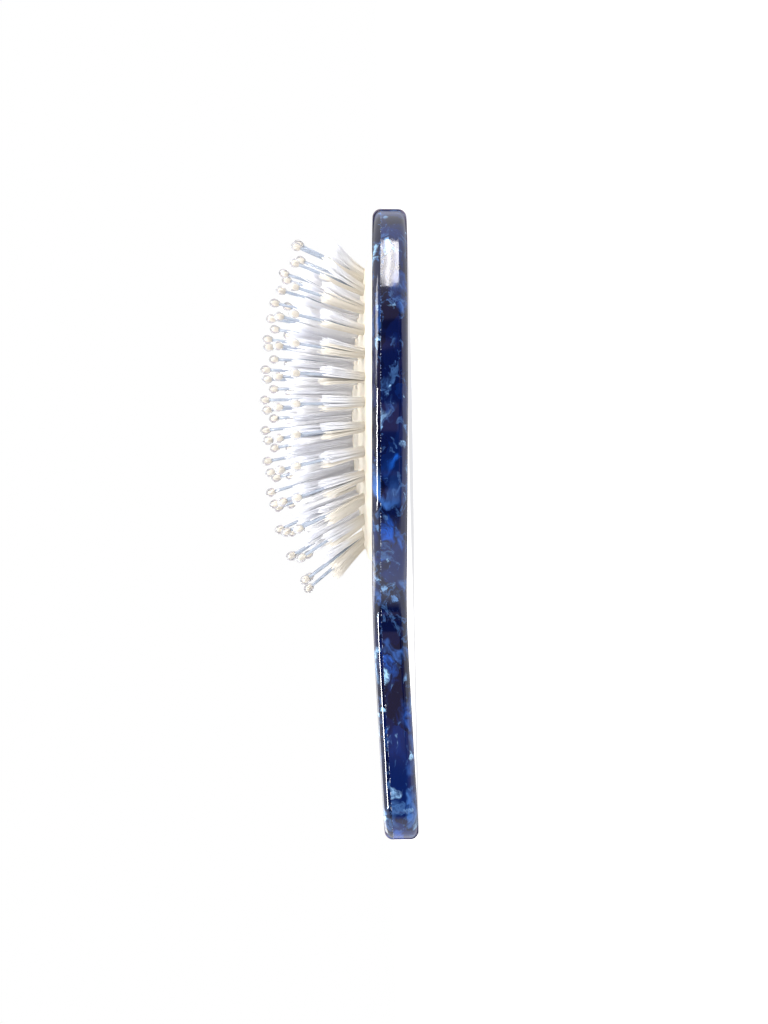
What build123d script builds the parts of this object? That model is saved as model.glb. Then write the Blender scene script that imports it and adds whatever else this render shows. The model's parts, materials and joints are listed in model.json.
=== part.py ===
"""A pneumatic paddle brush, lying on its back with the bristles up.

The body is four sheets of cellulose acetate laminated flat on flat. A domed rubber pad is
clamped by its flange under the front sheet and closes an air chamber. Each hole of the pad
holds one tuft of fine nylon with a stiffer ball-tipped nylon pin in its middle, and an anchor
wire through the foot of the tuft under the pad.

Millimetres. +X runs from the handle to the head, +Z up. The origin is the middle of the
footprint, on the surface that the brush lies on.
"""
from build123d import *
from math import atan2, cos, radians, sin, sqrt, tan
import os

os.makedirs("parts", exist_ok=True)

# ---------------------------------------------------------------- driving dimensions
LENGTH = 225.0
HEAD_WIDTH = 72.0
HEAD_LENGTH = 141.0
SHEET = 3.0
SHEET_NAMES = ["back_plate", "core_rear", "core_front", "front_frame"]
THICKNESS = SHEET * len(SHEET_NAMES)
EDGE_ROUND = 2.9

NECK_RADIUS = 9.8
HANDLE_END_RADIUS = 14.4
NECK_FILLET = 28.0

BEND_START_X = -18.0
BEND_LENGTH = 30.0
BEND_ANGLE = 3.25

CUSHION_X = 41.5
CUSHION_HALF_LENGTH = 55.5
CUSHION_HALF_WIDTH = 28.5
OPENING_LIP_ROUND = 0.8
CORE_LIP = 1.0
FLANGE_WIDTH = 3.0
FLANGE_THICKNESS = SHEET
PAD_THICKNESS = 1.8
PAD_GAP = 0.15
DOME_HEIGHT = 7.2
DOME_STEP = 1.4
VENT_RADIUS = 0.8
VENT_OFFSET = -38.5

# Each ring of tufts: half-length, half-width, count, share of a step that it starts at,
# length of the pins and length of the tufts above the pad.
RINGS = {
    1: (47.7, 24.9, 28, 0.0, 28.0, 19.8),
    2: (39.4, 16.8, 22, 0.5, 30.4, 21.8),
    3: (30.8, 8.4, 16, 0.0, 32.4, 23.2),
    4: (25.0, 0.0, 6, 0.5, 33.4, 24.0),
}
# The tufts fan out from a point of the head: degrees per millimetre along and across it, and
# degrees per cubic millimetre more towards the ends.
LEAN_CENTRE = 8.0
LEAN_ALONG = 0.55
LEAN_ENDS = 5.4e-5
LEAN_ACROSS = 1.25

TUFT_FOOT_RADIUS = 1.9
TUFT_TIP_RADIUS = 3.1
TUFT_CLEARANCE = 0.1
HOLE_LENGTH = 12.0
FOOT_DEPTH = 5.4
ANCHOR_RADIUS = 0.45
ANCHOR_LENGTH = 5.0
ANCHOR_DEPTH = 4.6
PIN_RADIUS = 0.55
PIN_START_DEPTH = 3.4
BEAD_RADIUS = 1.55
BEAD_LENGTH = 3.9
BEAD_WIDEST_SHARE = 0.42
BEAD_NECK_TANGENT = (-0.35, -1)
BEAD_SOCKET = 1.8

# ---------------------------------------------------------------- the resting attitude
# The handle is bent back, so the brush rests on the far end of its head and on the end of its
# handle, and the face of the head tilts by a small angle.
bend_radius = BEND_LENGTH / radians(BEND_ANGLE)
bend_drop = bend_radius * (1 - cos(radians(BEND_ANGLE)))
bend_run = bend_radius * sin(radians(BEND_ANGLE))
straight_start_x = BEND_START_X - bend_run
head_contact_x = LENGTH / 2 - EDGE_ROUND
handle_contact_x = EDGE_ROUND - LENGTH / 2
handle_drop = bend_drop + (straight_start_x - handle_contact_x) * tan(radians(BEND_ANGLE))
tilt = atan2(handle_drop, head_contact_x - handle_contact_x)

head_x_dir = Vector(cos(tilt), 0, -sin(tilt))
head_normal = Vector(sin(tilt), 0, cos(tilt))
# The rounded ends stand out level with the middle of each end, which shifts the footprint.
footprint_shift = -0.5 * (THICKNESS - handle_drop) * sin(tilt)
head_origin = Vector(head_contact_x + footprint_shift, 0, 0) - head_x_dir * head_contact_x
HEAD = Plane(origin=head_origin, x_dir=head_x_dir, z_dir=head_normal)
# The side of the brush, with its own x along the head and its own y along the normal.
SIDE = Plane(origin=head_origin, x_dir=head_x_dir, z_dir=(0, -1, 0))
SIDE_DEPTH = HEAD_WIDTH
BLANK_DEPTH = 3 * THICKNESS

# The crown of the pad is part of a torus: an arc over the length of the opening, turned about
# an axis under the brush. It leaves the opening a step above the face of the head.
crown_rise = DOME_HEIGHT - DOME_STEP
crown_radius_x = (CUSHION_HALF_LENGTH**2 + crown_rise**2) / (2 * crown_rise)
crown_radius_y = (CUSHION_HALF_WIDTH**2 + crown_rise**2) / (2 * crown_rise)
crown_axis_z = THICKNESS + DOME_HEIGHT - crown_radius_y
CROWN_STATIONS = (
    CUSHION_X - CUSHION_HALF_LENGTH - FLANGE_WIDTH,
    CUSHION_X,
    CUSHION_X + CUSHION_HALF_LENGTH + FLANGE_WIDTH,
)


# ---------------------------------------------------------------- shared geometry
FACING = 0.9


def circle_drop(radius, offset):
    """How far a circle falls from its top at an offset from its middle."""
    return radius - sqrt(radius**2 - offset**2)


def dome_height(x, y):
    """Height of the pad's outer surface over the face of the head at a point of the face."""
    section_radius = crown_radius_y - circle_drop(crown_radius_x, x - CUSHION_X)
    return crown_axis_z + sqrt(section_radius**2 - y**2) - THICKNESS


def ring_feet(half_length, half_width, count, start):
    """The points of the face that a ring of tufts stands on, evenly spaced."""
    if half_width == 0:
        step = 2 * half_length / (count - 1 + 2 * start)
        return [(CUSHION_X - half_length + step * (i + start), 0.0) for i in range(count)]
    path = Edge.make_ellipse(half_length, half_width)
    points = [path.position_at((i + start) / count) for i in range(count)]
    return [(CUSHION_X + point.X, point.Y) for point in points]


def tuft_planes(ring):
    """A plane at the foot of each tuft of a ring, on the pad, facing along the tuft."""
    half_length, half_width, count, start = RINGS[ring][:4]
    planes = []
    for x, y in ring_feet(half_length, half_width, count, start):
        along = x - CUSHION_X - LEAN_CENTRE
        lean_x = radians(LEAN_ALONG * along + LEAN_ENDS * along**3)
        lean_y = radians(LEAN_ACROSS * y)
        foot = HEAD.from_local_coords(Vector(x, y, THICKNESS + dome_height(x, y)))
        above = HEAD.from_local_coords(
            Vector(x + tan(lean_x), y + tan(lean_y), THICKNESS + dome_height(x, y) + 1)
        )
        planes.append(Plane(origin=foot, x_dir=(0, 1, 0), z_dir=above - foot))
    return planes


def rim_edges(part, direction):
    """The outer edges of the faces of a part that look along a direction."""
    facing = [f for f in part.faces() if f.normal_at(f.center()).dot(direction) > FACING]
    edges = [e for f in facing for e in f.edges()]
    return [e for e in edges if sum(e.is_same(other) for other in edges) == 1]


def finish(part, label):
    """Names a finished piece and writes it."""
    part.label = label
    export_step(part, f"parts/{label}.step")


# ---------------------------------------------------------------- outline of the body
with BuildSketch() as outline:
    with Locations((HANDLE_END_RADIUS - LENGTH / 2, 0)):
        Circle(HANDLE_END_RADIUS)
    Circle(NECK_RADIUS)
    make_hull()
    with Locations(((LENGTH - HEAD_LENGTH) / 2, 0)):
        Ellipse(HEAD_LENGTH / 2, HEAD_WIDTH / 2)
    # The two hollow corners where the handle runs into the head.
    shoulders = [v for v in outline.vertices() if v.X < 0 and abs(v.Y) < HANDLE_END_RADIUS]
    shoulders = sorted(shoulders, key=lambda v: -v.X)[:2]
    fillet(shoulders, NECK_FILLET)

# Half-length and half-width of the opening in each sheet, none in the back plate.
OPENINGS = {
    "core_rear": (CUSHION_HALF_LENGTH - CORE_LIP, CUSHION_HALF_WIDTH - CORE_LIP),
    "core_front": (CUSHION_HALF_LENGTH + FLANGE_WIDTH, CUSHION_HALF_WIDTH + FLANGE_WIDTH),
    "front_frame": (CUSHION_HALF_LENGTH, CUSHION_HALF_WIDTH),
}


def bent_band(low, high):
    """The side of one sheet, straight over the head and bent back into the handle."""
    with BuildLine() as band:
        head_end = LENGTH / 2 + SHEET
        run = straight_start_x + LENGTH / 2 + SHEET
        slope = (-cos(radians(BEND_ANGLE)), -sin(radians(BEND_ANGLE)))
        lower = Line((head_end, low), (BEND_START_X, low))
        lower_bend = JernArc(lower @ 1, (-1, 0), bend_radius + low, BEND_ANGLE)
        lower_end = lower_bend @ 1 + Vector(*slope) * run
        upper = Line((head_end, high), (BEND_START_X, high))
        upper_bend = JernArc(upper @ 1, (-1, 0), bend_radius + high, BEND_ANGLE)
        upper_end = upper_bend @ 1 + Vector(*slope) * run
        Line(lower_bend @ 1, lower_end)
        Line(upper_bend @ 1, upper_end)
        Line(lower_end, upper_end)
        Line(lower @ 0, upper @ 0)
    return band.line


# ---------------------------------------------------------------- the four sheets
for level, name in enumerate(SHEET_NAMES):
    band_line = bent_band(level * SHEET, (level + 1) * SHEET)
    with BuildPart() as sheet:
        with BuildSketch(SIDE):
            with BuildLine():
                add(band_line)
            make_face()
        extrude(amount=SIDE_DEPTH, both=True)
        with BuildSketch(HEAD.offset(-THICKNESS)):
            add(outline.sketch)
        extrude(amount=BLANK_DEPTH, mode=Mode.INTERSECT)
        if name == "front_frame":
            fillet(rim_edges(sheet.part, head_normal), EDGE_ROUND)
        if name == "back_plate":
            fillet(rim_edges(sheet.part, -head_normal), EDGE_ROUND)
        if name in OPENINGS:
            with BuildSketch(HEAD.offset(level * SHEET)):
                with Locations((CUSHION_X, 0)):
                    Ellipse(*OPENINGS[name])
            extrude(amount=SHEET, mode=Mode.SUBTRACT)
        if name == "front_frame":
            head_faces = sheet.faces().filter_by(lambda f: len(f.inner_wires()) == 1)
            lip = head_faces.sort_by(lambda f: HEAD.to_local_coords(f.center()).Z)[-1]
            fillet(lip.inner_wires()[0].edges(), OPENING_LIP_ROUND)
    finish(sheet.part, name)

# ---------------------------------------------------------------- the rubber pad
def dome(inset):
    """The inside of the opening under the crown of the pad, set in by an inset."""
    with BuildLine() as section:
        heights = [THICKNESS + dome_height(x, 0) - inset for x in CROWN_STATIONS]
        crown = ThreePointArc(*zip(CROWN_STATIONS, heights))
        Line(crown @ 0, (CROWN_STATIONS[0], 0))
        Line((CROWN_STATIONS[0], 0), (CROWN_STATIONS[2], 0))
        Line((CROWN_STATIONS[2], 0), crown @ 1)
    with BuildPart() as solid:
        with BuildSketch(SIDE):
            add(section.line)
            make_face()
        revolve(axis=Axis(HEAD.from_local_coords(Vector(0, 0, crown_axis_z)), head_x_dir))
        with BuildSketch(HEAD.offset(2 * SHEET)):
            with Locations((CUSHION_X, 0)):
                Ellipse(CUSHION_HALF_LENGTH - inset, CUSHION_HALF_WIDTH - inset)
        extrude(amount=THICKNESS + DOME_HEIGHT, mode=Mode.INTERSECT)
    return solid.part


outer_dome = dome(PAD_GAP)
inner_dome = dome(PAD_THICKNESS)

with BuildPart() as cushion_pad:
    with BuildSketch(HEAD.offset(2 * SHEET)):
        with Locations((CUSHION_X, 0)):
            Ellipse(CUSHION_HALF_LENGTH + FLANGE_WIDTH, CUSHION_HALF_WIDTH + FLANGE_WIDTH)
    extrude(amount=FLANGE_THICKNESS)
    add(outer_dome)
    add(inner_dome, mode=Mode.SUBTRACT)
    for ring in RINGS:
        with Locations(*tuft_planes(ring)):
            Cylinder(TUFT_FOOT_RADIUS + TUFT_CLEARANCE, HOLE_LENGTH, mode=Mode.SUBTRACT)
    with BuildSketch(HEAD.offset(THICKNESS)):
        with Locations((CUSHION_X + VENT_OFFSET, 0)):
            Circle(VENT_RADIUS)
    extrude(amount=THICKNESS, mode=Mode.SUBTRACT)
finish(cushion_pad.part, "cushion_pad")


# ---------------------------------------------------------------- the tufts, ring by ring
STANDING = (Align.CENTER, Align.CENTER, Align.MIN)


def bead_section(length):
    """Half of the section of the drop-shaped bead on a pin that ends at a length."""
    with BuildLine() as section:
        Spline(
            (0, length),
            (BEAD_RADIUS, length - BEAD_WIDEST_SHARE * BEAD_LENGTH),
            (PIN_RADIUS, length - BEAD_LENGTH),
            tangents=[(1, 0), BEAD_NECK_TANGENT],
        )
        Line((PIN_RADIUS, length - BEAD_LENGTH), (0, length - BEAD_LENGTH))
        Line((0, length - BEAD_LENGTH), (0, length))
    return section.line


for ring, (_, _, _, _, pin_length, tuft_length) in RINGS.items():
    planes = tuft_planes(ring)
    feet = [plane.offset(-FOOT_DEPTH) for plane in planes]
    pin_starts = [plane.offset(-PIN_START_DEPTH) for plane in planes]
    pin_end = pin_length - BEAD_LENGTH + BEAD_SOCKET

    with BuildPart() as pins:
        with Locations(*pin_starts):
            Cylinder(PIN_RADIUS, PIN_START_DEPTH + pin_end, align=STANDING)
    finish(pins.part, f"pins_ring_{ring}")

    with BuildPart() as anchors:
        with Locations(*[plane.offset(-ANCHOR_DEPTH) for plane in planes]):
            Cylinder(ANCHOR_RADIUS, ANCHOR_LENGTH, rotation=(90, 0, 0))
    finish(anchors.part, f"anchor_wires_ring_{ring}")

    with BuildPart() as tufts:
        with Locations(*feet):
            Cylinder(TUFT_FOOT_RADIUS, FOOT_DEPTH, align=STANDING)
        with Locations(*planes):
            Cone(TUFT_FOOT_RADIUS, TUFT_TIP_RADIUS, tuft_length, align=STANDING)
        add(pins.part, mode=Mode.SUBTRACT)
        add(anchors.part, mode=Mode.SUBTRACT)
    finish(tufts.part, f"tufts_ring_{ring}")

    section = bead_section(pin_length)
    with BuildPart() as single_bead:
        with BuildSketch(Plane.XZ):
            with BuildLine():
                add(section)
            make_face()
        revolve(axis=Axis.Z)
    with BuildPart() as beads:
        with Locations(*planes):
            add(single_bead.part)
        add(pins.part, mode=Mode.SUBTRACT)
    finish(beads.part, f"pin_tips_ring_{ring}")
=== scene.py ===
"""The finished looks of the paddle brush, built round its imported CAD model.

Metres. The brush lies on its back: +X runs from the handle to the head and +Z is up. The face
of the head tilts a little, so most positions are worked out along its normal.
"""
import json
import math
import random

import bpy
import numpy as np
from mathutils import Matrix, Vector

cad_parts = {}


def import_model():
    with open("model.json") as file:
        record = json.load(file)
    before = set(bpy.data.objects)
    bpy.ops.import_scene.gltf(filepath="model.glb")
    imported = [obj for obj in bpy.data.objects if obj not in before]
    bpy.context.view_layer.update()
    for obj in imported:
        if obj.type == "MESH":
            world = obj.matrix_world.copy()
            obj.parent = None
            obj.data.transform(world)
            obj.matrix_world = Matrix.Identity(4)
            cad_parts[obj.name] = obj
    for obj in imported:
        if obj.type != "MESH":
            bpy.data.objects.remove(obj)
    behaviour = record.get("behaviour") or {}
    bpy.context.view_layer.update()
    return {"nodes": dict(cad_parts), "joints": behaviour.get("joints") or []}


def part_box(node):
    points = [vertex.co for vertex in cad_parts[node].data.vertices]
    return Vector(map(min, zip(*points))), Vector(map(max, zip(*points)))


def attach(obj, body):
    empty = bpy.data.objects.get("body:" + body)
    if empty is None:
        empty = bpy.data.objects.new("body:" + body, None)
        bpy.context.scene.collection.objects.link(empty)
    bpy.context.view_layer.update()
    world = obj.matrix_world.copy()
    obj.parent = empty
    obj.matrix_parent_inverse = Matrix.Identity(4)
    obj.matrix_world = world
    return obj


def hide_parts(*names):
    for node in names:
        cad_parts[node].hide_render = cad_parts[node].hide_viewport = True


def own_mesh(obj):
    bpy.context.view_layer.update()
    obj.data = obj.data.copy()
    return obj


MM = 0.001
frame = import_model()

# ---------------------------------------------------------------- frame
PRESS = next(joint for joint in frame["joints"] if joint["name"] == "cushion_press")
NORMAL = -Vector(PRESS["axis"]).normalized()
ACROSS = Vector((0, 1, 0))
ALONG = ACROSS.cross(NORMAL)
SHEETS = ("back_plate", "core_rear", "core_front", "front_frame")
RINGS = {1: "bristles_outer", 2: "bristles_middle", 3: "bristles_inner", 4: "bristles_centre"}
HEAD_MIDDLE = 0.5 * sum(corner.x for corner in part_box("cushion_pad"))

# ---------------------------------------------------------------- sizes and shares
# Reading the CAD meshes: corners this close are one, and the ends of a pin are this thin a slice.
SAME_PLACE = 0.001 * MM
END_SLICE = 0.01 * MM
# Cosines: above FACING two directions count as the same way, below SIDEWAYS as square.
FACING = 0.9
SIDEWAYS = 0.3

# Bubbles in the cement: mean distance, radii, lengths for each radius, and their outline.
BUBBLE_STEP = 0.9 * MM
BUBBLE_RADII = (0.03 * MM, 0.085 * MM)
BUBBLE_LENGTHS = (1.2, 5.0)
BUBBLE_OUTLINE = ((-1.0, 0.2), (-0.5, 0.85), (0.0, 1.0), (0.5, 0.85), (1.0, 0.2))
BUBBLE_SIDES = 6
BUBBLE_SEED = 7

# Pad: its mesh, the gap to the frame, the depth of its skirt, the width of its flange and the
# depth under the face where only the flange is left, its steep step at the rim, and its collars.
PAD_ROWS, PAD_SIDES = 110, 420
PAD_GAP = 0.15 * MM
SKIRT_DEPTH = 2.6 * MM
FLANGE_WIDTH = 3 * MM
FLANGE_DEPTH = 4 * MM
RIM_STEP = 1.4 * MM
RIM_SHARE = 0.06
COLLAR_RADIUS = 2.35 * MM
COLLAR_WIDTH = 0.45 * MM
COLLAR_HEIGHT = 0.42 * MM

# Pins: how deep they start, how wide they are, how they taper, and how far they bow.
PIN_START_DEPTH = 3.4 * MM
PIN_RADIUS = 0.55 * MM
PIN_FOOT_SHARE = 1.04
PIN_TAPER = 0.1
PIN_BOW = 0.3 * MM
PIN_STEPS = 8
PIN_SIDES = 12

# Beads: a drop with a blunt crown, a full belly and a neck on the pin, round an ivory core.
# Each mesh is given by its steps and sides.
BEAD_LENGTH = 3.9 * MM
BEAD_RADIUS = 1.488 * MM
BEAD_SOCKET = 1.8 * MM
BEAD_MESH = (12, 20)
CORE_DEPTH = 0.85 * MM
CORE_LENGTH = 2.6 * MM
CORE_RADIUS = 0.74 * MM
CORE_MESH = (8, 12)
CAP_DEPTH = 0.004 * MM
CAP_RADIUS = 0.02 * MM
CROWN_BLUNTNESS = 0.78
BELLY_FULLNESS = 0.72
NECK_SHARE = 0.95

# Length of the tufts over the pad in each ring, tone at the foot and at the tips, and how far
# a tuft may split in two along the brush. Cream tones near the foot are painted shade, mostly
# in the outer ring.
TUFTS = {
    1: (16.2 * MM, 0.05, 0.9, 1.9 * MM),
    2: (22.0 * MM, 0.55, 1.0, 1.3 * MM),
    3: (23.6 * MM, 0.60, 1.0, 1.0 * MM),
    4: (24.4 * MM, 0.60, 1.0, 1.0 * MM),
}
TUFT_SEED = 100
TUFT_FOOT_RADIUS = 1.88 * MM
FOOT_SINK = 1.6 * MM
FIBRES = 104
FIBRE_RADIUS = 0.165 * MM
FIBRE_TAPER = 0.25
FIBRE_STEPS = 7
FIBRE_SIDES = 5
FIBRE_LENGTHS = (0.86, 1.05)
EDGE_SHORTENING = 0.03
TONE_CHANGES = (0.9, 1.1)
GOLDEN = math.pi * (3 - math.sqrt(5))
# How a tuft opens: the share of the foot that it fills, how wide its tips fan out, how far
# they stray and gather in clumps, and how far the tufts at the head end splay towards it.
FILLED = 0.92
FLARE = 1.6
STRAY = 0.16
CLUMPS = 8
CLUMPING = 0.3
HEAD_SPLAY = 0.42
# The split: how much its direction turns, how it is spread over the tufts, where it runs
# through a tuft, and how much of the tone the side in painted shade reaches, so it stays cream.
SPLIT_TURN = 0.45
LEAST_SPLIT = 0.15
SPLIT_POWER = 1.3
SPLIT_SHIFT = 0.35
PAINTED_SHADE_SHARE = 0.35


# ---------------------------------------------------------------- CAD shapes
def corners_of(node):
    """The mesh corners of a CAD node as an array."""
    mesh = frame["nodes"][node].data
    points = np.empty(len(mesh.vertices) * 3)
    mesh.vertices.foreach_get("co", points)
    return points.reshape(-1, 3)


def separate_solids(node):
    """The corners of each separate solid of a CAD node, as a list of arrays."""
    points = corners_of(node)
    keys = {}
    merged = np.empty(len(points), int)
    for i, point in enumerate(np.round(points / SAME_PLACE).astype(int)):
        merged[i] = keys.setdefault(tuple(point), len(keys))
    group = list(range(len(keys)))

    def root(i):
        while group[i] != i:
            group[i] = group[group[i]]
            i = group[i]
        return i

    for edge in frame["nodes"][node].data.edges:
        a, b = root(merged[edge.vertices[0]]), root(merged[edge.vertices[1]])
        group[max(a, b)] = min(a, b)
    solids = {}
    for i in range(len(points)):
        solids.setdefault(root(merged[i]), []).append(points[i])
    return [np.array(solid) for solid in solids.values()]


def pin_axes(ring):
    """The start and the end of each pin of a ring, sorted round the ring."""
    axes = []
    for solid in separate_solids(f"pins_ring_{ring}"):
        middle = solid.mean(axis=0)
        direction = np.linalg.svd(solid - middle, full_matrices=False)[2][0]
        direction *= np.sign(direction @ np.array(NORMAL))
        reach = (solid - middle) @ direction
        low = solid[reach < reach.min() + END_SLICE].mean(axis=0)
        high = solid[reach > reach.max() - END_SLICE].mean(axis=0)
        axes.append((Vector(low), Vector(high)))
    centre = sum((low for low, high in axes), Vector()) / len(axes)
    return sorted(axes, key=lambda axis: math.atan2(*(axis[0] - centre).yx))


def seam_edges(node):
    """The upper outer edges of a sheet, as pairs of points."""
    mesh = frame["nodes"][node].data

    def corners(face):
        return [tuple(round(c, 6) for c in mesh.vertices[v].co) for v in face.vertices]

    upper = set()
    for face in mesh.polygons:
        if face.normal.dot(NORMAL) > FACING:
            upper.update(corners(face))
    pairs = set()
    for face in mesh.polygons:
        if abs(face.normal.dot(NORMAL)) > SIDEWAYS:
            continue
        rim = [corner for corner in corners(face) if corner in upper]
        outward = Vector(face.center) - Vector((HEAD_MIDDLE, 0, face.center.z))
        if len(rim) == 2 and face.normal.dot(outward) > 0:
            pairs.add(tuple(sorted(rim)))
    return sorted(pairs)


def local(point):
    """A point's places along the head, across it and over the origin along its normal."""
    point = Vector(point)
    return Vector((point.dot(ALONG), point.dot(ACROSS), point.dot(NORMAL)))


def world(x, y, z):
    """The point at places along the head, across it and along its normal."""
    return ALONG * x + ACROSS * y + NORMAL * z


def side_directions(direction):
    """Two directions square to a direction and to each other."""
    first = direction.cross(ACROSS if abs(direction.dot(ACROSS)) < FACING else ALONG).normalized()
    return first, direction.cross(first).normalized()


PIN_AXES = {ring: pin_axes(ring) for ring in RINGS}
FACE_HEIGHT = max(local(point).z for point in corners_of("front_frame"))
PAD_POINTS = np.array([local(point) for point in corners_of("cushion_pad")])
CROWN = PAD_POINTS[:, 2].max() - FACE_HEIGHT
FLANGE = PAD_POINTS[PAD_POINTS[:, 2] < FACE_HEIGHT - FLANGE_DEPTH]
PAD_CENTRE = 0.5 * (FLANGE[:, 0].max() + FLANGE[:, 0].min())
OPENING_LENGTH = 0.5 * (FLANGE[:, 0].max() - FLANGE[:, 0].min()) - FLANGE_WIDTH
OPENING_WIDTH = 0.5 * (FLANGE[:, 1].max() - FLANGE[:, 1].min()) - FLANGE_WIDTH


# ---------------------------------------------------------------- mesh and material helpers
class MeshBuilder:
    """Collects the corners and faces of one piece, with a tone for each corner."""

    def __init__(self):
        self.corners, self.faces, self.tones, self.face_slots = [], [], [], []

    def corner(self, point, tone=0.0):
        """One corner."""
        self.corners.append(point)
        self.tones.append(tone)

    def face(self, corners, slot):
        """One face."""
        self.faces.append(tuple(corners))
        self.face_slots.append(slot)

    def band(self, lower, upper, sides, slot=0):
        """The faces between two rings of corners, each given by its first corner."""
        for i in range(sides):
            after = (i + 1) % sides
            self.face((lower + i, lower + after, upper + after, upper + i), slot)

    def tube(self, points, radii, sides, tones=None, slot=0):
        """A round tube along points, closed at both ends."""
        start = len(self.corners)
        first, second = side_directions((points[-1] - points[0]).normalized())
        for point, radius, tone in zip(points, radii, tones or [0.0] * len(points)):
            for i in range(sides):
                angle = 2 * math.pi * i / sides
                side = math.cos(angle) * first + math.sin(angle) * second
                self.corner(point + radius * side, tone)
        last = start + (len(points) - 1) * sides
        for lower in range(start, last, sides):
            self.band(lower, lower + sides, sides, slot)
        self.face(range(last, last + sides), slot)
        self.face(range(start + sides - 1, start - 1, -1), slot)

    def piece(self, name):
        """The finished piece as a linked object."""
        mesh = bpy.data.meshes.new(name)
        mesh.from_pydata([tuple(corner) for corner in self.corners], [], self.faces)
        tone = mesh.attributes.new("tone", "FLOAT", "POINT")
        tone.data.foreach_set("value", self.tones)
        mesh.polygons.foreach_set("use_smooth", [True] * len(mesh.polygons))
        mesh.polygons.foreach_set("material_index", self.face_slots)
        mesh.update()
        obj = bpy.data.objects.new(name, mesh)
        bpy.context.scene.collection.objects.link(obj)
        return obj


class Nodes:
    """Short ways to add and join the nodes of one material, or of the world."""

    def __init__(self, owner, shader="Principled BSDF"):
        owner.use_nodes = True
        self.owner = owner
        self.tree = owner.node_tree
        self.shader = self.tree.nodes[shader]

    def add(self, kind, **settings):
        """Adds a node, sets its properties and its sockets by name, and joins given sockets."""
        node = self.tree.nodes.new(kind)
        for key, value in settings.items():
            if hasattr(node, key):
                setattr(node, key, value)
            else:
                self.put(node.inputs[key.replace("_", " ")], value)
        return node

    def put(self, socket, value):
        """Joins a socket to an output, or sets its value."""
        if isinstance(value, bpy.types.NodeSocket):
            self.tree.links.new(value, socket)
        else:
            socket.default_value = value

    def set(self, **values):
        """Sets sockets of the main shader by name."""
        for key, value in values.items():
            self.put(self.shader.inputs[key.replace("_", " ")], value)

    def math(self, operation, *values, clamp=False):
        """One step of arithmetic."""
        node = self.add("ShaderNodeMath", operation=operation, use_clamp=clamp)
        for socket, value in zip(node.inputs, values):
            self.put(socket, value)
        return node.outputs[0]

    def vector(self, operation, *values):
        """One step of arithmetic with vectors."""
        node = self.add("ShaderNodeVectorMath", operation=operation)
        for socket, value in zip(node.inputs, values):
            self.put(socket, value)
        return node.outputs["Value" if operation == "DOT_PRODUCT" else "Vector"]

    def ramp(self, value, stops):
        """A colour for each value, from (place, colour) stops."""
        node = self.add("ShaderNodeValToRGB", Fac=value)
        while len(node.color_ramp.elements) < len(stops):
            node.color_ramp.elements.new(0.5)
        for element, (place, colour) in zip(node.color_ramp.elements, stops):
            element.position = place
            element.color = (*colour, 1)
        return node.outputs["Color"]

    def mix(self, share, first, second):
        """Two colours mixed by a share."""
        node = self.add("ShaderNodeMix", data_type="RGBA")
        self.put(node.inputs[0], share)
        self.put(node.inputs[6], first)
        self.put(node.inputs[7], second)
        return node.outputs[2]

    def place(self, kind="Object"):
        """The place on the object, or the direction in the room if the kind is Generated."""
        return self.add("ShaderNodeTexCoord").outputs[kind]

    def noise(self, place, scale, detail, **settings):
        """Cloudy noise."""
        settings.update(Scale=scale, Detail=detail, Vector=place)
        return self.add("ShaderNodeTexNoise", **settings).outputs[0]

    def clouded(self, scale, detail, low, high, stops=(0.3, 0.7)):
        """A colour that drifts between two over the object."""
        return self.ramp(self.noise(self.place(), scale, detail), list(zip(stops, (low, high))))

    def thick_edges(self, colour, edge, stops):
        """The colour of a clear plastic, which is darker where the eye meets more of it."""
        facing = self.add("ShaderNodeLayerWeight", Blend=0.35).outputs["Facing"]
        share = self.ramp(facing, list(zip(stops, (grey(0), grey(1)))))
        return self.mix(share, colour, (*edge, 1))


def grey(value):
    """A grey colour for a ramp."""
    return (value, value, value)


# ---------------------------------------------------------------- materials
NAVY = (0.0009, 0.0018, 0.015)
INK = (0.0010, 0.0045, 0.042)
ROYAL = (0.0015, 0.016, 0.115)
VIVID = (0.001, 0.065, 0.40)
STEEL_BLUE = (0.06, 0.15, 0.36)
PALE_BLUE = (0.30, 0.52, 0.75)
GROUND = ((0.0, NAVY), (0.50, INK), (0.60, ROYAL), (0.66, NAVY), (0.90, INK), (1.0, ROYAL))
# Fibre colours along the tone: the cream end is painted shade, the rest white to lilac grey.
FIBRE_COLOURS_AND_SHADE = (
    (0.0, (0.86, 0.78, 0.64)),
    (0.35, (0.92, 0.87, 0.79)),
    (0.55, (0.95, 0.94, 0.95)),
    (0.8, (0.92, 0.92, 0.96)),
    (1.0, (0.82, 0.83, 0.90)),
)
# Three layers of flakes: their scale, how rare and how strong they are, and two colours.
LOW_FLAKES = (120.0, 0.66, 0.9, (VIVID, STEEL_BLUE))
MIDDLE_FLAKES = (190.0, 0.86, 1.3, (STEEL_BLUE, PALE_BLUE))
TOP_FLAKES = (380.0, 0.95, 1.5, (STEEL_BLUE, PALE_BLUE))
# How fast a flake fades from side to side, its strength in the middle, and how fine its streaks
# are. The last three values say how far each layer is cut from the others in the block.
FLAKE_FADE = 4.2
FLAKE_MIDDLE = 0.30
STREAK_FINENESS = 11.0
CUT_DIRECTION = (0.37, 0.11, 0.53)
LOW_CUT, TOP_CUT = 2.1, 4.5
# The pattern of the acetate is stretched along the brush, where its places count for less.
LENGTHENING = 0.62


def offset_place(n, place, distance):
    """A place moved far off, so that each layer is cut from another part of the block."""
    return n.vector("ADD", place, tuple(distance * part for part in CUT_DIRECTION))


def bent_place(n, place, scale, reach):
    """A place pushed about by noise, which makes straight cells curl."""
    swirl = n.add("ShaderNodeTexNoise", Scale=scale, Detail=3.0, Roughness=0.6, Vector=place)
    return n.vector("MULTIPLY_ADD", swirl.outputs["Color"], (reach, reach, reach), place)


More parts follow.
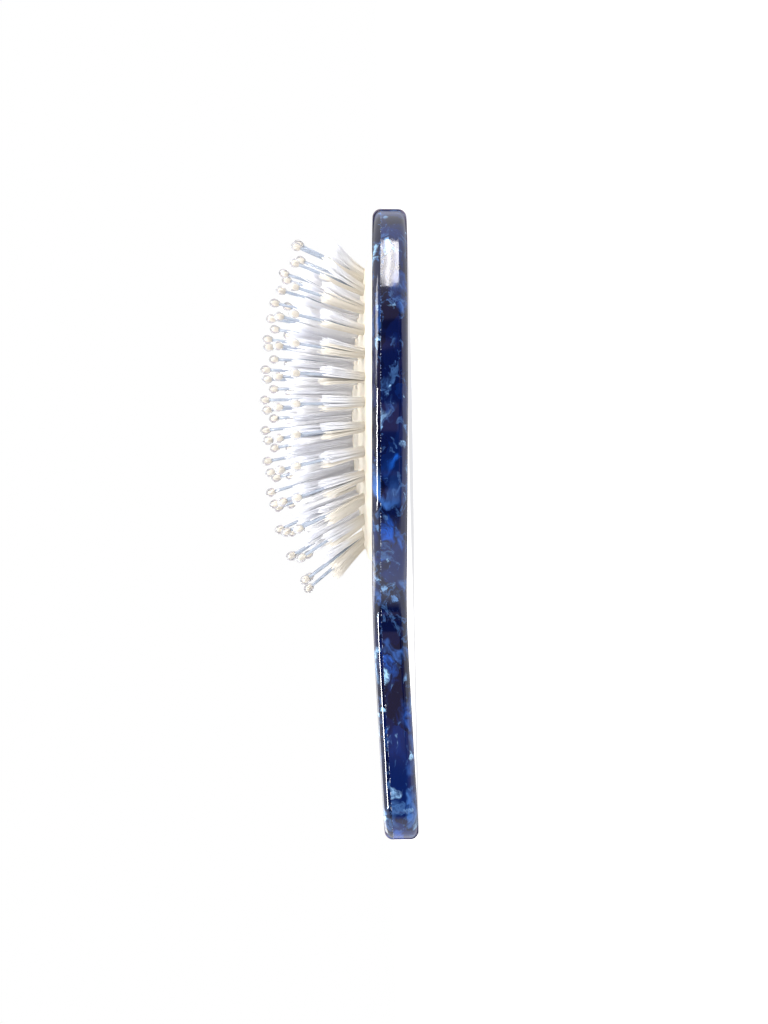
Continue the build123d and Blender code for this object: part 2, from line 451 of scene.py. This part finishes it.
def flake_layer(n, under, place, scale, rarity, strength, colours):
    """Pearly flakes over a colour: some cells of a pattern, each faded and streaked its own way."""
    cells = n.add("ShaderNodeTexVoronoi", Scale=scale, Vector=place)
    edges = n.add("ShaderNodeTexVoronoi", feature="DISTANCE_TO_EDGE", Scale=scale, Vector=place)
    pick = n.add("ShaderNodeSeparateColor", Color=cells.outputs["Color"])
    inside = n.vector("SUBTRACT", place, cells.outputs["Position"])
    lie = n.vector("SUBTRACT", cells.outputs["Color"], (0.5, 0.5, 0.5))
    fade = n.vector("DOT_PRODUCT", inside, lie)
    gradient = n.math("MULTIPLY_ADD", fade, FLAKE_FADE * scale, FLAKE_MIDDLE)
    across = n.vector("CROSS_PRODUCT", inside, lie)
    streaks = n.noise(across, STREAK_FINENESS * scale, 2.0, Roughness=0.6)
    streaked = n.ramp(streaks, [(0.32, grey(0.05)), (0.62, grey(1.0))])
    pearl = n.math("MULTIPLY", gradient, streaked, clamp=True)
    rim = n.ramp(edges.outputs["Distance"], [(0.0, grey(0.0)), (0.12, grey(1.0))])
    chosen = n.math("GREATER_THAN", pick.outputs[1], rarity)
    share = n.math("MULTIPLY", chosen, n.math("MULTIPLY", pearl, rim), clamp=True)
    colour = n.mix(pick.outputs[2], (*colours[0], 1), (*colours[1], 1))
    return n.mix(n.math("MULTIPLY", share, strength, clamp=True), under, colour)


def acetate(name, seed):
    """Polished cellulose acetate: ink blue, with curled and pearly blue flakes at some depths."""
    n = Nodes(bpy.data.materials.new(f"acetate_{name}"))
    place = n.place()
    own = offset_place(n, place, seed)
    stretched = n.vector("MULTIPLY", own, (LENGTHENING, 1.0, 1.0))
    curled = bent_place(n, stretched, 110.0, 0.011)
    cells = n.add("ShaderNodeTexVoronoi", Scale=75.0, Vector=curled)
    pick = n.add("ShaderNodeSeparateColor", Color=cells.outputs["Color"])
    cloud = n.noise(stretched, 90.0, 4.0, Roughness=0.6, Distortion=1.2)
    cloudy = n.ramp(cloud, [(0.54, grey(0)), (0.76, grey(0.9))])
    deep = n.mix(cloudy, n.ramp(pick.outputs[0], GROUND), (*ROYAL, 1))
    wisps = n.noise(curled, 140.0, 4.0, Roughness=0.6, Distortion=1.9)
    wispy = n.ramp(wisps, [(0.57, grey(0)), (0.65, grey(0.5)), (0.71, grey(0.0))])
    deep = n.mix(wispy, deep, (*STEEL_BLUE, 1))
    deep = flake_layer(n, deep, offset_place(n, curled, LOW_CUT), *LOW_FLAKES)
    deep = flake_layer(n, deep, curled, *MIDDLE_FLAKES)
    top = offset_place(n, bent_place(n, own, 400.0, 0.002), TOP_CUT)
    deep = flake_layer(n, deep, top, *TOP_FLAKES)
    n.set(Base_Color=deep, Roughness=0.07, IOR=1.47)
    n.set(Coat_Weight=0.15, Coat_Roughness=0.02, Coat_IOR=1.45)
    ripple = n.noise(place, 38.0, 1.0)
    bump = n.add("ShaderNodeBump", Strength=0.1, Distance=0.0012, Height=ripple)
    n.set(Normal=bump.outputs[0], Coat_Normal=bump.outputs[0])
    return n.owner


def rubber():
    """Cream white moulded rubber with a fine skin."""
    n = Nodes(bpy.data.materials.new("pad_rubber"))
    n.set(Base_Color=n.clouded(120.0, 3.0, (0.70, 0.64, 0.53), (0.78, 0.73, 0.63)))
    grain = n.noise(n.place(), 2600.0, 2.0)
    bump = n.add("ShaderNodeBump", Strength=0.25, Distance=0.00012, Height=grain)
    n.set(Roughness=0.48, Normal=bump.outputs[0])
    n.set(Subsurface_Weight=0.25, Subsurface_Radius=(0.002, 0.0014, 0.001))
    return n.owner


def tuft_nylon():
    """Fine white nylon, with cream painted shade where the fibres are packed at the foot."""
    n = Nodes(bpy.data.materials.new("tuft_nylon"))
    tone = n.add("ShaderNodeAttribute", attribute_name="tone")
    colour = n.ramp(tone.outputs["Fac"], FIBRE_COLOURS_AND_SHADE)
    n.set(Base_Color=colour, Roughness=0.32, IOR=1.5, Transmission_Weight=0.12)
    return n.owner


def pin_nylon():
    """Clear glossy nylon with a faint blue cast."""
    n = Nodes(bpy.data.materials.new("pin_nylon"))
    colour = n.clouded(400.0, 2.0, (0.44, 0.50, 0.60), (0.56, 0.62, 0.72))
    colour = n.thick_edges(colour, (0.15, 0.19, 0.26), (0.35, 0.75))
    n.set(Base_Color=colour, Roughness=0.15, IOR=1.5, Transmission_Weight=0.4)
    return n.owner


def bead_nylon():
    """The clear skin of the bead on a pin."""
    n = Nodes(bpy.data.materials.new("bead_nylon"))
    colour = n.clouded(500.0, 1.0, (0.93, 0.94, 0.96), (0.98, 0.98, 0.99))
    colour = n.thick_edges(colour, (0.42, 0.50, 0.60), (0.55, 0.9))
    n.set(Base_Color=colour, Roughness=0.1, IOR=1.2, Transmission_Weight=0.8)
    return n.owner


def bead_core():
    """The ivory core inside the bead."""
    n = Nodes(bpy.data.materials.new("bead_core"))
    colour = n.clouded(300.0, 1.0, (0.60, 0.52, 0.40), (0.72, 0.65, 0.53))
    n.set(Base_Color=colour, Roughness=0.4)
    return n.owner


def wire_steel():
    """Drawn steel wire."""
    n = Nodes(bpy.data.materials.new("anchor_steel"))
    rough = n.clouded(900.0, 2.0, grey(0.25), grey(0.45))
    n.set(Base_Color=(0.55, 0.56, 0.58, 1), Metallic=1.0, Roughness=rough)
    return n.owner


def glue_with_glints():
    """The clear cement between two sheets, painted pale where it holds air: a painted glint of
    light off the bubbles.
    """
    n = Nodes(bpy.data.materials.new("glue_line_glints"))
    colour = n.clouded(300.0, 1.0, (0.10, 0.18, 0.42), (0.75, 0.82, 0.95), (0.4, 0.62))
    n.set(Base_Color=colour, Roughness=0.12)
    return n.owner


# ---------------------------------------------------------------- body and anchor wires
def repaint(node, material):
    """Gives a CAD node that is shown as it is another material."""
    materials = frame["nodes"][node].data.materials
    materials.clear()
    materials.append(material)


def glue_bubbles():
    """Fine bubbles caught in the cement under the front sheet, which show as a dotted line."""
    draw = random.Random(BUBBLE_SEED)
    builder = MeshBuilder()
    for start, end in seam_edges("core_front"):
        start, end = Vector(start), Vector(end)
        span = (end - start).length
        along = (end - start).normalized()
        travelled = draw.expovariate(1 / BUBBLE_STEP)
        while travelled < span:
            place = start.lerp(end, travelled / span)
            size = draw.uniform(*BUBBLE_RADII)
            reach = size * draw.uniform(*BUBBLE_LENGTHS)
            points = [place + along * reach * way for way, _ in BUBBLE_OUTLINE]
            builder.tube(points, [share * size for _, share in BUBBLE_OUTLINE], BUBBLE_SIDES)
            travelled += draw.expovariate(1 / BUBBLE_STEP)
    obj = builder.piece("glue_line_bubbles")
    obj.data.materials.append(glue_with_glints())
    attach(obj, "brush_body")


# The three sheets behind are cut from one block, so its pattern runs through them.
block, front = acetate("block", 1), acetate("front", 2)
for sheet in SHEETS:
    repaint(sheet, front if sheet == "front_frame" else block)
glue_bubbles()
steel = wire_steel()
for ring in RINGS:
    repaint(f"anchor_wires_ring_{ring}", steel)


# ---------------------------------------------------------------- rubber pad
def crown_rise(share):
    """Height of the pad over the face, as a share of the way from the rim to the middle."""
    step = RIM_STEP * (1 - (1 - min(1.0, share / RIM_SHARE)) ** 2)
    return step + (CROWN - RIM_STEP) * (1 - (1 - share) ** 2)


def pad():
    """The rubber pad: a crowned oval with a raised collar round each tuft, and a skirt."""
    feet = np.array(
        [
            local(low + (high - low).normalized() * PIN_START_DEPTH).xy
            for axes in PIN_AXES.values()
            for low, high in axes
        ]
    )
    builder = MeshBuilder()

    def oval(level):
        """The places round the oval, shrunk to a level."""
        for i in range(PAD_SIDES):
            angle = 2 * math.pi * i / PAD_SIDES
            x = PAD_CENTRE + (OPENING_LENGTH - PAD_GAP) * level * math.cos(angle)
            yield x, (OPENING_WIDTH - PAD_GAP) * level * math.sin(angle)

    for row in range(PAD_ROWS + 1):
        share = row / PAD_ROWS
        for x, y in oval(1 - share):
            gap = np.hypot(feet[:, 0] - x, feet[:, 1] - y).min()
            collar = math.exp(-(((gap - COLLAR_RADIUS) / COLLAR_WIDTH) ** 2))
            height = crown_rise(share) + COLLAR_HEIGHT * collar
            builder.corner(world(x, y, FACE_HEIGHT + height))
    for row in range(PAD_ROWS):
        builder.band(row * PAD_SIDES, (row + 1) * PAD_SIDES, PAD_SIDES)
    skirt = len(builder.corners)
    for x, y in oval(1):
        builder.corner(world(x, y, FACE_HEIGHT - SKIRT_DEPTH))
    builder.band(skirt, 0, PAD_SIDES)
    obj = builder.piece("cushion_pad_rubber")
    obj.data.materials.append(rubber())
    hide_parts("cushion_pad")
    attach(obj, "brush_body")
    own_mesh(obj)


pad()


# ---------------------------------------------------------------- bristles
def tuft(builder, foot, direction, ring, draw):
    """One tuft of fine fibres round its pin, flared and split a little to two sides, one side in
    painted shade.
    """
    length, foot_shade_tone, tip_tone, widest_split = TUFTS[ring]
    # One side of each split is painted in shade: its fibres stop at a cream tone.
    painted_shade_tone = foot_shade_tone + PAINTED_SHADE_SHARE * (tip_tone - foot_shade_tone)
    first = (ALONG - direction * ALONG.dot(direction)).normalized()
    second = direction.cross(first)
    split_angle = draw.gauss(0, SPLIT_TURN)
    split_x, split_y = math.cos(split_angle), math.sin(split_angle)
    split = draw.uniform(LEAST_SPLIT, 1.0) ** SPLIT_POWER * widest_split / TUFT_FOOT_RADIUS
    shift = draw.uniform(-SPLIT_SHIFT, SPLIT_SHIFT)
    clumps = [(draw.uniform(-1, 1), draw.uniform(-1, 1)) for _ in range(CLUMPS)]
    splay = HEAD_SPLAY * max(0.0, direction.dot(ALONG)) * length
    for i in range(FIBRES):
        spread = math.sqrt((i + 0.5) / FIBRES)
        x, y = spread * math.cos(i * GOLDEN), spread * math.sin(i * GOLDEN)
        side = 1 if x * split_x + y * split_y > shift else -1
        clump = min(clumps, key=lambda c: (c[0] - x) ** 2 + (c[1] - y) ** 2)
        tip_x = (x + (clump[0] - x) * CLUMPING) * FLARE + draw.uniform(-STRAY, STRAY)
        tip_y = (y + (clump[1] - y) * CLUMPING) * FLARE + draw.uniform(-STRAY, STRAY)
        tip_x += side * split_x * split
        tip_y += side * split_y * split
        reach = length * draw.uniform(*FIBRE_LENGTHS) - EDGE_SHORTENING * length * spread
        # The side with painted shade keeps cream fibres to its tips.
        reach_tone = tip_tone if side > 0 else painted_shade_tone
        points, radii, tones = [], [], []
        for step in range(FIBRE_STEPS):
            t = step / (FIBRE_STEPS - 1)
            ease = t * (0.5 + 0.5 * t)
            across = FILLED * TUFT_FOOT_RADIUS * ((1 - ease) * x + ease * tip_x) + splay * t * t
            beside = FILLED * TUFT_FOOT_RADIUS * ((1 - ease) * y + ease * tip_y)
            rise = t * (reach + FOOT_SINK) - FOOT_SINK
            points.append(foot + direction * rise + first * across + second * beside)
            radii.append(FIBRE_RADIUS * (1 - FIBRE_TAPER * t))
            # Tone from the cream painted shade at the foot towards the tip.
            tone = foot_shade_tone + (reach_tone - foot_shade_tone) * t * draw.uniform(*TONE_CHANGES)
            tones.append(min(1.0, tone))
        builder.tube(points, radii, FIBRE_SIDES, tones)


def pin(builder, low, high, draw):
    """A slightly bowed pin."""
    first, second = side_directions((high - low).normalized())
    bow = first * draw.uniform(-PIN_BOW, PIN_BOW) + second * draw.uniform(-PIN_BOW, PIN_BOW)
    points, radii = [], []
    for step in range(PIN_STEPS + 1):
        t = step / PIN_STEPS
        points.append(low.lerp(high, t) + bow * math.sin(math.pi * t))
        radii.append(PIN_RADIUS * (PIN_FOOT_SHARE - PIN_TAPER * t))
    builder.tube(points, radii, PIN_SIDES)


def bead(builder, crown, direction, length, radius, mesh, slot):
    """A drop with its crown at a point and its neck back along the pin."""
    steps, sides = mesh
    points, radii = [crown - direction * CAP_DEPTH], [CAP_RADIUS]
    for step in range(1, steps + 1):
        t = step / steps
        swell = math.sin(math.pi * t**CROWN_BLUNTNESS) ** BELLY_FULLNESS
        points.append(crown - direction * (t * length))
        radii.append(radius * swell + PIN_RADIUS * NECK_SHARE * t**2)
    builder.tube(points[::-1], radii[::-1], sides, slot=slot)


fibre_look, pin_look, bead_looks = [tuft_nylon()], [pin_nylon()], [bead_nylon(), bead_core()]
for ring, body in RINGS.items():
    draw = random.Random(TUFT_SEED + ring)
    fibres, pins, beads = MeshBuilder(), MeshBuilder(), MeshBuilder()
    for low, high in PIN_AXES[ring]:
        direction = (high - low).normalized()
        tuft(fibres, low + direction * PIN_START_DEPTH, direction, ring, draw)
        pin(pins, low, high, draw)
        crown = high + direction * (BEAD_LENGTH - BEAD_SOCKET)
        bead(beads, crown, direction, BEAD_LENGTH, BEAD_RADIUS, BEAD_MESH, 0)
        crown -= direction * CORE_DEPTH
        bead(beads, crown, direction, CORE_LENGTH, CORE_RADIUS, CORE_MESH, 1)
    for builder, name, node, slot, materials in (
        (fibres, "tuft_fibres", "tufts", "tuft_nylon", fibre_look),
        (pins, "clear_pins", "pins", "pin_nylon", pin_look),
        (beads, "pin_beads", "pin_tips", "tip_nylon", bead_looks),
    ):
        obj = builder.piece(f"{name}_ring_{ring}")
        for material in materials:
            obj.data.materials.append(material)
        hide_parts(f"{node}_ring_{ring}")
        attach(obj, body)

# ---------------------------------------------------------------- floor, light and camera
FLOOR_REACH = 3.0
FLOOR_GLOW = 0.76
# What the lights look at: the middle of the brush, or a point in the head.
AIM = (0, 0, 0.02)
HEAD_POINT = ALONG * 0.09
KEY = (0.5, -0.5, 0.7)
FILL = (-0.4, 0.5, 0.6)
STREAK = NORMAL * 0.5 - ACROSS * 0.5 - ALONG * 0.1
# A window with narrow panes, each of a length and a power, which shows in the end of the head.
WINDOW = ALONG * 0.55 - ACROSS * 0.27
WINDOW_COLOUR = (1, 0.97, 0.97)
PANES = 11
PANE_STEP = 5.4 * MM
PANE_WIDTH = 2.6 * MM
PANE_KINDS = ((0.31, 0.12), (0.22, 0.035), (0.27, 0.07))
DARK_ROOM = (0.02, 0.02, 0.03)
DIM_ROOM = (0.30, 0.23, 0.27)
ROOM_LIGHT = 1.52
WHITE = (1, 1, 1, 1)
# The camera: its distance, the height of the picture at the brush, and what it looks at.
VIEW_DISTANCE = 0.46
PICTURE_HEIGHT = 367 * MM
AIM_ALONG = 4.3 * MM
AIM_HEIGHT = 10.1 * MM


def floor():
    """A plain white floor, left out of reflections."""
    mesh = bpy.data.meshes.new("floor")
    ways = ((-1, -1), (1, -1), (1, 1), (-1, 1))
    mesh.from_pydata([(FLOOR_REACH * x, FLOOR_REACH * y, 0) for x, y in ways], [], [(0, 1, 2, 3)])
    obj = bpy.data.objects.new("floor", mesh)
    bpy.context.scene.collection.objects.link(obj)
    n = Nodes(bpy.data.materials.new("floor"))
    n.set(Base_Color=n.clouded(6.0, 2.0, grey(0.28), grey(0.32)), Roughness=0.7)
    n.set(Emission_Color=WHITE, Emission_Strength=FLOOR_GLOW)
    clear = n.add("ShaderNodeBsdfTransparent")
    either = n.add("ShaderNodeMixShader", Fac=n.add("ShaderNodeLightPath").outputs["Is Glossy Ray"])
    n.put(either.inputs[1], n.shader.outputs[0])
    n.put(either.inputs[2], clear.outputs[0])
    n.put(n.tree.nodes["Material Output"].inputs["Surface"], either.outputs[0])
    mesh.materials.append(n.owner)


def area_light(name, place, target, size, power, colour=(1, 1, 1), only_gloss=False):
    """A soft light of a size (width, height), aimed at a target, or one that only gloss shows."""
    light = bpy.data.lights.new(name, "AREA")
    light.shape = "RECTANGLE"
    light.size, light.size_y = size
    light.energy = power
    light.color = colour
    obj = bpy.data.objects.new(name, light)
    obj.location = place
    obj.rotation_mode = "QUATERNION"
    obj.rotation_quaternion = (Vector(target) - Vector(place)).to_track_quat("-Z", "Y")
    if only_gloss:
        obj.visible_diffuse = obj.visible_transmission = obj.visible_camera = False
    bpy.context.scene.collection.objects.link(obj)


def window():
    """The panes of the window, side by side along the normal of the head."""
    for number in range(PANES):
        place = WINDOW + NORMAL * PANE_STEP * (number - PANES // 2)
        length, power = PANE_KINDS[number % len(PANE_KINDS)]
        name, size = f"window_pane_{number}", (length, PANE_WIDTH)
        area_light(name, place, HEAD_POINT, size, power, WINDOW_COLOUR, only_gloss=True)


def room():
    """A white room. In reflections it is dark straight out from both sides of the brush."""
    n = Nodes(bpy.data.worlds.new("room"), "Background")
    place = n.place("Generated")
    parts = n.add("ShaderNodeSeparateXYZ", Vector=place)
    side = n.math("ABSOLUTE", parts.outputs["Y"])
    patches = n.ramp(n.noise(place, 3.2, 2.0), [(0.53, DARK_ROOM), (0.55, DIM_ROOM)])
    reflected = n.mix(n.ramp(side, [(0.60, grey(0)), (0.80, grey(1))]), WHITE, patches)
    ray = n.add("ShaderNodeLightPath")
    n.set(Color=n.mix(ray.outputs["Is Glossy Ray"], WHITE, reflected))
    seen = n.math("MULTIPLY", ray.outputs["Is Camera Ray"], 1 - ROOM_LIGHT)
    n.set(Strength=n.math("ADD", seen, ROOM_LIGHT))
    bpy.context.scene.world = n.owner


def camera():
    """The camera looks at the brush's side, with the head up in the picture."""
    data = bpy.data.cameras.new("camera")
    data.sensor_width = 36.0
    data.lens = data.sensor_width * VIEW_DISTANCE / PICTURE_HEIGHT
    data.clip_start, data.clip_end = 0.01, 20
    obj = bpy.data.objects.new("camera", data)
    up, back = ALONG, -ACROSS
    turn = Matrix((up.cross(back).normalized(), up, back)).transposed()
    place = ALONG * AIM_ALONG + NORMAL * AIM_HEIGHT + back * VIEW_DISTANCE
    obj.matrix_world = Matrix.Translation(place) @ turn.to_4x4()
    bpy.context.scene.collection.objects.link(obj)
    bpy.context.scene.camera = obj


floor()
room()
area_light("key", KEY, AIM, (0.5, 0.5), 7)
area_light("fill", FILL, AIM, (0.6, 0.6), 4)
area_light("streak", STREAK, AIM, (0.5, 0.05), 9, only_gloss=True)
window()
camera()
bpy.context.scene.view_settings.view_transform = "Standard"
